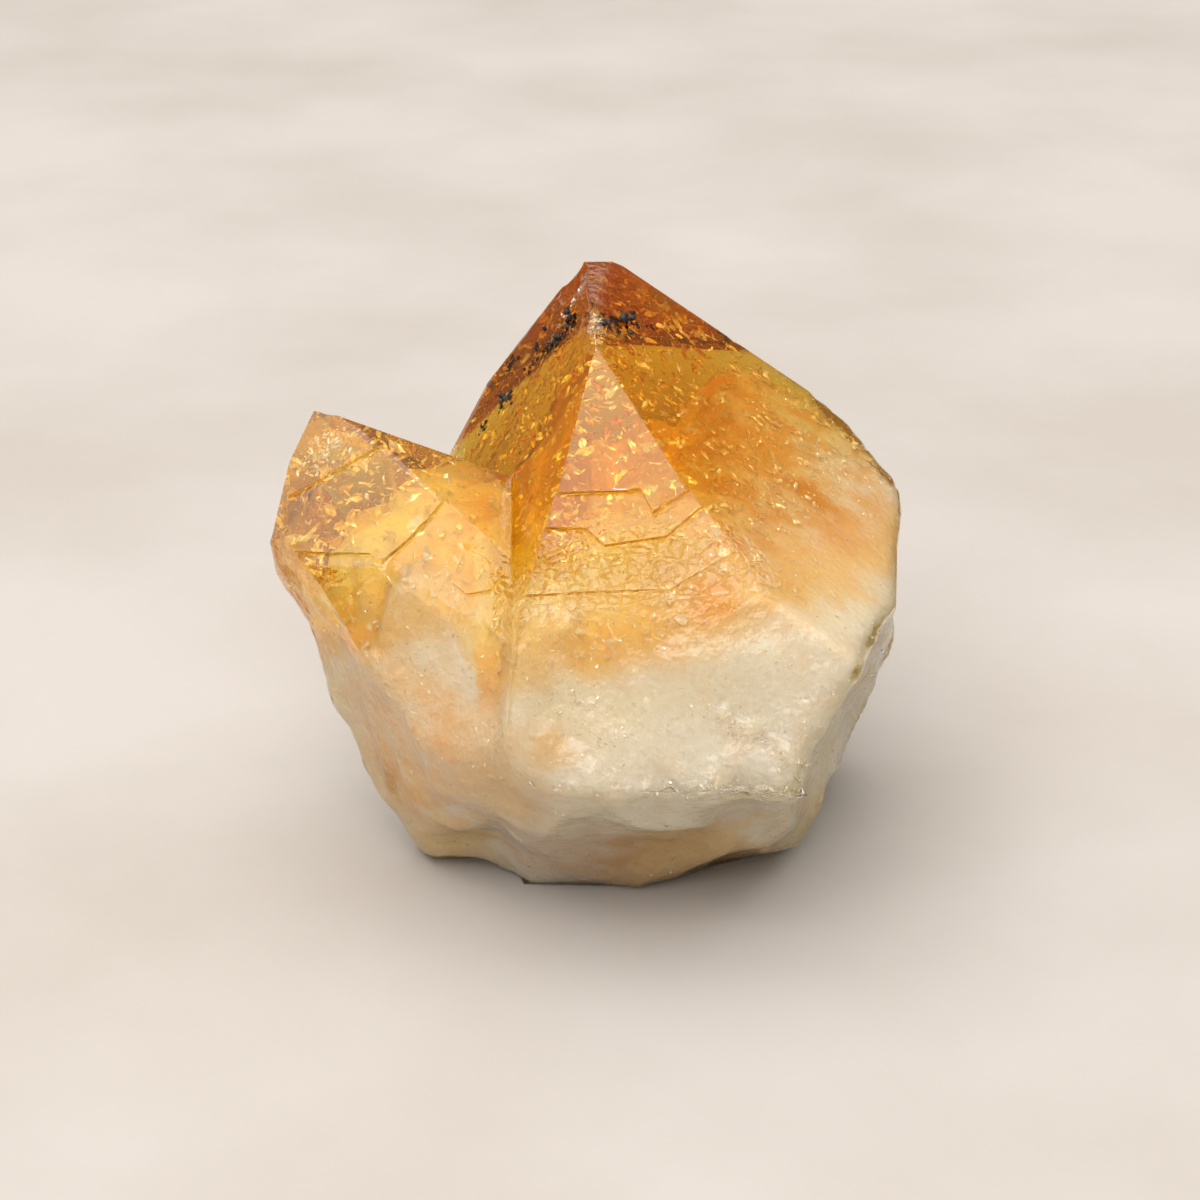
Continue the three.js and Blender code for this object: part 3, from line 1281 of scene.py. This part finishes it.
VEILS = (
    Veil((-2.2, 10.2, 33.3), (0.0, 12.0, 35.2), 260, 0.40, 0.30),  # the bruised rim left of the tip
    Veil((0.2, 3.2, 33.6), (0.2, 7.0, 34.4), 90, 0.22, 0.26),  # between the tip and the front face
    Veil((9.4, 4.6, 28.2), (11.2, -2.5, 25.7), 60, 0.22, 0.20),  # under the right face
    Veil((8.0, 1.5, 28.2), (12.5, 2.0, 26.2), 40, 0.30, 0.16),
    Veil((9.5, -4.0, 26.4), (16.0, -2.0, 22.8), 260, 1.70, 0.20),
    Veil((13.0, 6.5, 27.0), (17.5, 3.0, 23.8), 300, 1.80, 0.24),
    Veil((-18.0, -1.8, 27.0), (-16.4, -0.4, 29.0), 170, 0.65, 0.38),  # under the side tip
    Veil((2.0, -9.5, 26.9), (6.5, -7.5, 28.3), 40, 0.50, 0.20),
    Veil((-2.4, 7.3, 26.8), (-2.6, 5.3, 23.6), 170, 0.9, 0.70),  # gold lights under the left face
    Veil((-1.0, 6.3, 29.0), (-2.0, 9.3, 26.0), 120, 0.8, 0.65),
    Veil((-2.7, -16.5, 20.5), (0.7, -18.0, 16.0), 130, 0.95, 0.26),  # bright dashes down the front
    Veil((4.0, -18.5, 13.2), (13.0, -18.8, 12.8), 140, 0.30, 0.26),  # along the lip
    Veil((7.5, -17.0, 17.3), (13.0, -18.0, 14.0), 200, 0.45, 0.28),  # the bright scar above the lip
)


@dataclass
class WhiteFlecks:
    """Fluid flecks all over the milky body just under its skin, and the veils' flecks, in mm."""

    count: int = 4200
    smallest: float = 0.05
    largest: float = 0.24
    shallow: float = 2.5  # the cloud's depth up to which a place counts as the body
    depth: tuple[float, float] = (0.28, 0.36)
    veil_depth: float = 0.18  # at least
    ground_gap: float = 0.05
    glint: Place = (-0.08, -0.55, 0.72)  # the way most face, along old growth layers
    seed: int = 12

    def build(self, cloud: MilkyCloud) -> bpy.types.Object:
        """Scatters the flecks between the skin and the cloud, then adds the veils' flecks.

        Args:
            cloud: the cloud.

        Returns:
            The flecks as one piece.
        """
        rng = np.random.default_rng(self.seed)
        centre = np.array(cloud.centre)
        u = unit(rng.normal(size=(self.count * 4, 3)))
        row, column = cloud.cells(u)
        outer = cloud.outer[row, column]
        gap = outer - cloud.inner[row, column]
        keep = np.flatnonzero(gap < self.shallow)[: self.count]
        below = rng.uniform(*self.depth, len(keep))
        middle = [centre + u[keep] * (outer[keep] - below)[:, None]]
        facing = [0.6 * u[keep] + self.glint + 0.32 * rng.normal(size=(len(keep), 3))]
        size = [self.smallest + (self.largest - self.smallest) * rng.uniform(0, 1, len(keep)) ** 2]
        for veil in VEILS:
            start, end = np.array(veil.start), np.array(veil.end)
            place = start + rng.uniform(0, 1, (veil.count, 1)) * (end - start)
            place = place + rng.normal(size=(veil.count, 3)) * veil.spread * np.array([1, 1, 0.6])
            away = place - centre
            distance = np.linalg.norm(away, axis=1, keepdims=True)
            row, column = cloud.cells(away / distance)
            limit = cloud.outer[row, column][:, None] - self.veil_depth
            middle.append(centre + away / distance * np.minimum(distance, limit))
            facing.append(rng.normal(size=(veil.count, 3)) * 0.35 + self.glint)
            reach = veil.largest - self.smallest
            size.append(self.smallest + reach * rng.uniform(0, 1, veil.count) ** 2)
        shell = ragged_discs(rng, np.vstack(middle), unit(np.vstack(facing)), np.concatenate(size))
        shell.points[:, 2] = np.maximum(shell.points[:, 2], self.ground_gap)
        return to_mesh("white_flecks", shell, smooth=False)


@dataclass
class IronGrains:
    """Clumps of black grains just under the faces near the main tip, in mm."""

    clumps: tuple[tuple[float, float, float, float], ...] = (  # x, y, z and width
        (0.7, 6.0, 33.8, 0.9),
        (1.4, 7.0, 33.5, 1.2),
        (2.1, 8.3, 33.3, 1.0),
        (3.7, 9.2, 32.5, 0.5),
        (-1.4, 8.8, 33.0, 1.1),
        (-2.4, 8.9, 31.6, 1.2),
        (-3.0, 9.5, 31.0, 0.9),
        (-4.0, 9.7, 29.6, 0.6),
        (-5.2, 13.8, 28.1, 0.9),
        (-5.8, 9.9, 27.2, 0.9),
        (-7.3, 10.3, 25.1, 0.7),
    )
    grains: int = 20  # in a clump
    rings: int = 4
    around: int = 7
    seed: int = 9

    def build(self) -> bpy.types.Object:
        """Each grain is a knobbly ball: m + s u (1 + k n(u)) for its middle m, size s and noise n.

        Returns:
            The grains as one piece.
        """
        rng = np.random.default_rng(self.seed)
        ball = ball_poles(ball_directions(self.rings, self.around))
        ball_shape = ball_faces(self.rings, self.around)
        points, faces = [], []
        for x, y, z, size in self.clumps:
            for _ in range(self.grains):
                middle = np.array([x, y, z]) + rng.normal(size=3) * size * 0.42
                scale = size * rng.uniform(0.10, 0.36) * rng.uniform(0.35, 1.0, 3)
                knobs = 1 + 0.75 * layered(ball + rng.uniform(0, 50), 0.7, 2, 41)[:, None]
                faces.append(ball_shape + len(points) * len(ball))
                points.append(middle + ball * scale * knobs)
        return to_mesh("iron_grains", Shell(np.vstack(points), np.vstack(faces)), smooth=False)


# --- the room ---------------------------------------------------------------------------------
@dataclass
class Studio:
    """A pale ground, a wide soft light overhead and a little to the left, and the camera."""

    aim: Place = (0.43, 0.37, 16.8)
    distance: float = 187.8  # mm
    elevation: float = 25.0  # degrees
    lens: float = 85.0
    low_wall: float = 0.11  # brightness of the room near the horizon
    ceiling: float = 1.1
    rise: tuple[float, float] = (0.40, 0.85)  # heights of a direction between which it brightens
    lit: float = 17.0  # mm, the height that the lights face
    backdrop: float = 0.72  # what shows behind the crystal, which doesn't light it
    ground: float = 2600.0  # mm

    def floor(self) -> bpy.types.Object:
        """The ground, a flat sheet under the crystal.

        Returns:
            The sheet.
        """
        half = self.ground / 2
        corners = half * np.array([[-1.0, -1, 0], [1, -1, 0], [1, 1, 0], [-1, 1, 0]])
        piece = to_mesh("ground", Shell(corners, np.array([[0, 1, 2], [0, 2, 3]])), smooth=False)
        piece.data.materials.append(PaleGround().build())
        return piece

    def light(
        self, name: str, place: Place, size: float, power: float, colour: str = "FFFAF4"
    ) -> bpy.types.Object:
        """A square soft light that faces the crystal.

        Args:
            name: its name.
            place: where it stands, in mm.
            size: its side in mm.
            power: its power in watts.
            colour: sRGB hex.

        Returns:
            The light.
        """
        data = bpy.data.lights.new(name, "AREA")
        data.shape, data.size, data.energy = "SQUARE", size * MM, power
        data.color = linear(colour)[:3]
        lamp = bpy.data.objects.new(name, data)
        bpy.context.scene.collection.objects.link(lamp)
        away = np.array(place) - np.array([0, 0, self.lit])
        lamp.location = tuple(np.array(place) * MM)
        yaw = math.atan2(away[0], -away[1])
        lamp.rotation_euler = (math.acos(away[2] / np.linalg.norm(away)), 0, yaw)
        return lamp

    def camera(self) -> bpy.types.Object:
        """The camera, which looks at the aim from the front and down.

        Returns:
            The camera.
        """
        data = bpy.data.cameras.new("camera")
        data.lens, data.sensor_width = self.lens, 36.0
        data.clip_start, data.clip_end = 0.01, 20.0
        view = bpy.data.objects.new("camera", data)
        bpy.context.scene.collection.objects.link(view)
        tilt = math.radians(self.elevation)
        back = np.array([0, -math.cos(tilt), math.sin(tilt)]) * self.distance
        view.location = tuple((np.array(self.aim) + back) * MM)
        view.rotation_euler = (math.radians(90 - self.elevation), 0, 0)
        bpy.context.scene.camera = view
        return view

    def build(self) -> None:
        """Sets up the ground, lights, surroundings and camera."""
        self.floor()
        self.light("overhead", (-80.0, 120.0, 800.0), 1400.0, 10.5)
        self.light("front", (-180.0, -750.0, 800.0), 900.0, 9.5)
        scene = bpy.context.scene
        scene.world = self.room()
        scene.view_settings.view_transform = "Standard"
        scene.cycles.max_bounces = 12
        scene.cycles.transmission_bounces = 12
        scene.cycles.glossy_bounces = 4
        scene.cycles.diffuse_bounces = 5
        scene.cycles.transparent_max_bounces = 8
        self.camera()

    def room(self) -> bpy.types.World:
        """The surroundings: dark low walls and a bright ceiling, with a pale backdrop to look at.

        Returns:
            The world.
        """
        world = bpy.data.worlds.new("pale_room")
        world.use_nodes = True
        tree = world.node_tree
        way = add(tree, "TexCoord").outputs["Generated"]
        up = add(tree, "SeparateXYZ", {}, {0: way}).outputs["Z"]
        glow = mapped(tree, up, self.rise, (self.low_wall, self.ceiling))
        seen = add(tree, "LightPath").outputs["Is Camera Ray"]
        strength = add(tree, "Mix", {3: self.backdrop}, {0: seen, 2: glow})
        back = tree.nodes["Background"]
        back.inputs["Color"].default_value = linear("FBF7F2")
        tree.links.new(strength.outputs[0], back.inputs["Strength"])
        return world


def dress(piece: bpy.types.Object, material: bpy.types.Material) -> None:
    """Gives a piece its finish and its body.

    Args:
        piece: the piece.
        material: its finish.
    """
    piece.data.materials.append(material)
    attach(piece, BODY)
    LOG.info("%s: %d triangles", piece.name, len(piece.data.polygons))


def main() -> None:
    """Builds the skin, what is sealed in it, and the room."""
    logging.basicConfig(level=logging.INFO, format="%(name)s %(message)s")
    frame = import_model()
    skin = CrystalSkin()
    skin.read(frame["nodes"][NODE])
    cloud = MilkyCloud()
    outer = skin.build()
    dress(outer, GrownQuartz().build())
    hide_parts(NODE)
    dress(cloud.build(skin), MilkyQuartz().build())
    dress(HealedCracks().build(cloud), HealedCrack().build())
    dress(WhiteFlecks().build(cloud), FluidFleck().build())
    dress(IronGrains().build(), IronOxide().build())
    Studio().build()
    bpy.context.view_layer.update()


if __name__ == "__main__":
    main()
